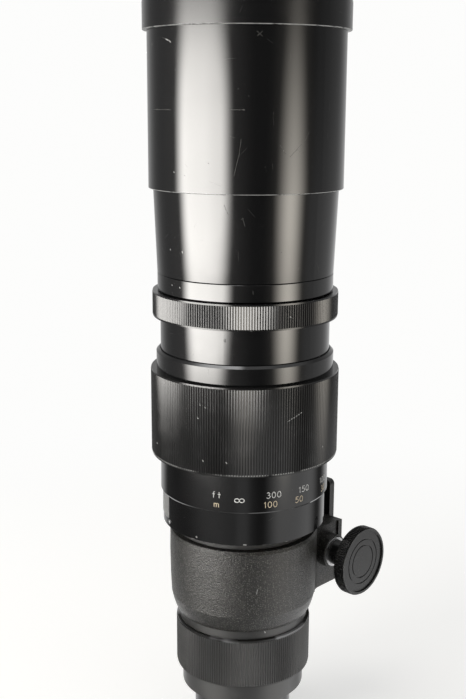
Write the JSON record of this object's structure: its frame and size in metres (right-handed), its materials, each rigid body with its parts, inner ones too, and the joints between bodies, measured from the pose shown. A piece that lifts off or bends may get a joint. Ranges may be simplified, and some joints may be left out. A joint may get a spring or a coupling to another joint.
{
  "type": "super telephoto lens",
  "caption": "Long black super telephoto lens with knurled focus and aperture rings, sliding hood, and a rotating tripod collar with foot and clamp knob.",
  "frame": {"origin": "on the optical axis, at the end face of the threaded spigot that goes into the camera", "axes": "+Z along the optical axis towards the front of the lens, +Y towards the tripod foot, +X towards the clamp knob"},
  "size_m": [0.1328, 0.144, 0.4981],
  "materials": {
    "gloss_black": "gloss black enamel on aluminium, lightly scratched",
    "satin_black": "satin black anodised, knurled",
    "crinkle_black": "black crinkle enamel on aluminium",
    "inner_black": "matt black",
    "chrome": "polished plate",
    "steel": "turned steel",
    "brass": "turned brass, greased",
    "glass": "coated optical glass",
    "felt": "black felt",
    "blade_steel": "blued spring steel"
  },
  "bodies": {
    "root": {"camera_mount": "chrome", "mount_screws": "steel", "mount_barrel": "gloss_black", "mount_baffle": "inner_black", "base_ring": "gloss_black", "rear_barrel": "inner_black", "neck_ring": "gloss_black", "index_ring": "gloss_black", "fixed_helicoid": "brass", "helicoid_screws": "steel", "guide_keys": "brass", "focus_stop": "steel", "iris_plate": "inner_black", "iris_retaining_ring": "inner_black", "click_ball": "steel", "click_spring": "steel"},
    "aperture": {"aperture_ring": "satin_black", "cam_ring": "blade_steel", "aperture_drive_tab": "steel"},
    "focus": {"focus_grip": "satin_black", "scale_ring": "gloss_black", "lip_ring": "gloss_black", "drive_helicoid": "brass", "grip_set_screws": "steel"},
    "head": {"head_barrel": "gloss_black", "key_tube": "inner_black", "key_tube_screws": "steel", "rear_lens_tube": "inner_black", "tube_baffle": "inner_black", "rear_cell": "satin_black", "rear_element_front": "glass", "rear_element_back": "glass", "rear_cell_ring": "satin_black", "seat_ring": "gloss_black", "tapered_barrel": "gloss_black", "front_cell": "satin_black", "front_element_outer": "glass", "front_element_middle": "glass", "front_element_inner": "glass", "front_cell_ring": "satin_black", "front_spacers": "inner_black", "felt_rings": "felt"},
    "union": {"union_ring": "satin_black"},
    "hood": {"hood": "gloss_black", "hood_rim": "gloss_black"},
    "collar": {"tripod_collar": "crinkle_black", "foot_plate": "gloss_black", "foot_screws": "steel", "tripod_bushing": "steel"},
    "washer": {"clamp_washer": "chrome"},
    "knob": {"clamp_knob": "gloss_black"},
    "blade_1": {"iris_blade_1": "blade_steel"},
    "blade_2": {"iris_blade_2": "blade_steel"},
    "blade_3": {"iris_blade_3": "blade_steel"},
    "blade_4": {"iris_blade_4": "blade_steel"},
    "blade_5": {"iris_blade_5": "blade_steel"},
    "blade_6": {"iris_blade_6": "blade_steel"},
    "blade_7": {"iris_blade_7": "blade_steel"},
    "blade_8": {"iris_blade_8": "blade_steel"},
    "blade_9": {"iris_blade_9": "blade_steel"}
  },
  "joints": [
    {"name": "aperture_turn", "type": "hinge", "parent": "root", "child": "aperture", "pos_m": [0, 0, 0.064], "axis": [0, 0, 1], "range_deg": [-20, 40]},
    {"name": "focus_turn", "type": "hinge", "parent": "root", "child": "focus", "pos_m": [0, 0, 0.23], "axis": [0, 0, 1], "range_deg": [-124, 106]},
    {"name": "head_slide", "type": "slide", "parent": "root", "child": "head", "axis": [0, 0, 1], "range_m": [-0.01215, 0.0142]},
    {"name": "union_turn", "type": "hinge", "parent": "head", "child": "union", "pos_m": [0, 0, 0.305], "axis": [0, 0, 1], "range_deg": [0, 540]},
    {"name": "hood_slide", "type": "slide", "parent": "head", "child": "hood", "axis": [0, 0, 1], "range_m": [-0.054, 0]},
    {"name": "collar_turn", "type": "hinge", "parent": "root", "child": "collar", "pos_m": [0, 0, 0.117], "axis": [0, 0, 1], "continuous": true},
    {"name": "washer_travel", "type": "slide", "parent": "collar", "child": "washer", "axis": [1, 0, 0], "range_m": [0, 0.00187]},
    {"name": "knob_turn", "type": "hinge", "parent": "washer", "child": "knob", "pos_m": [0.05, 0.0534, 0.121], "axis": [1, 0, 0], "range_deg": [0, 541]},
    {"name": "blade_1_swing", "type": "hinge", "parent": "root", "child": "blade_1", "pos_m": [0.033, 0, 0.0581], "axis": [0, 0, 1], "range_deg": [-11.76, 23.21]},
    {"name": "blade_2_swing", "type": "hinge", "parent": "root", "child": "blade_2", "pos_m": [0.02528, 0.02121, 0.0585], "axis": [0, 0, 1], "range_deg": [-11.76, 23.21]},
    {"name": "blade_3_swing", "type": "hinge", "parent": "root", "child": "blade_3", "pos_m": [0.00573, 0.0325, 0.0589], "axis": [0, 0, 1], "range_deg": [-11.76, 23.21]},
    {"name": "blade_4_swing", "type": "hinge", "parent": "root", "child": "blade_4", "pos_m": [-0.0165, 0.02858, 0.0593], "axis": [0, 0, 1], "range_deg": [-11.76, 23.21]},
    {"name": "blade_5_swing", "type": "hinge", "parent": "root", "child": "blade_5", "pos_m": [-0.03101, 0.01129, 0.0597], "axis": [0, 0, 1], "range_deg": [-11.76, 23.21]},
    {"name": "blade_6_swing", "type": "hinge", "parent": "root", "child": "blade_6", "pos_m": [-0.03101, -0.01129, 0.0601], "axis": [0, 0, 1], "range_deg": [-11.76, 23.21]},
    {"name": "blade_7_swing", "type": "hinge", "parent": "root", "child": "blade_7", "pos_m": [-0.0165, -0.02858, 0.0605], "axis": [0, 0, 1], "range_deg": [-11.76, 23.21]},
    {"name": "blade_8_swing", "type": "hinge", "parent": "root", "child": "blade_8", "pos_m": [0.00573, -0.0325, 0.0609], "axis": [0, 0, 1], "range_deg": [-11.76, 23.21]},
    {"name": "blade_9_swing", "type": "hinge", "parent": "root", "child": "blade_9", "pos_m": [0.02528, -0.02121, 0.0613], "axis": [0, 0, 1], "range_deg": [-11.76, 23.21]}
  ],
  "couplings": [
    {"joint": "head_slide", "follows": "focus_turn", "m_per_rad": -0.0065524},
    {"joint": "knob_turn", "follows": "washer_travel", "rad_per_m": 5026.5},
    {"joint": "blade_1_swing", "follows": "aperture_turn", "ratio": 0.57283},
    {"joint": "blade_2_swing", "follows": "aperture_turn", "ratio": 0.57283},
    {"joint": "blade_3_swing", "follows": "aperture_turn", "ratio": 0.57283},
    {"joint": "blade_4_swing", "follows": "aperture_turn", "ratio": 0.57283},
    {"joint": "blade_5_swing", "follows": "aperture_turn", "ratio": 0.57283},
    {"joint": "blade_6_swing", "follows": "aperture_turn", "ratio": 0.57283},
    {"joint": "blade_7_swing", "follows": "aperture_turn", "ratio": 0.57283},
    {"joint": "blade_8_swing", "follows": "aperture_turn", "ratio": 0.57283},
    {"joint": "blade_9_swing", "follows": "aperture_turn", "ratio": 0.57283}
  ]
}
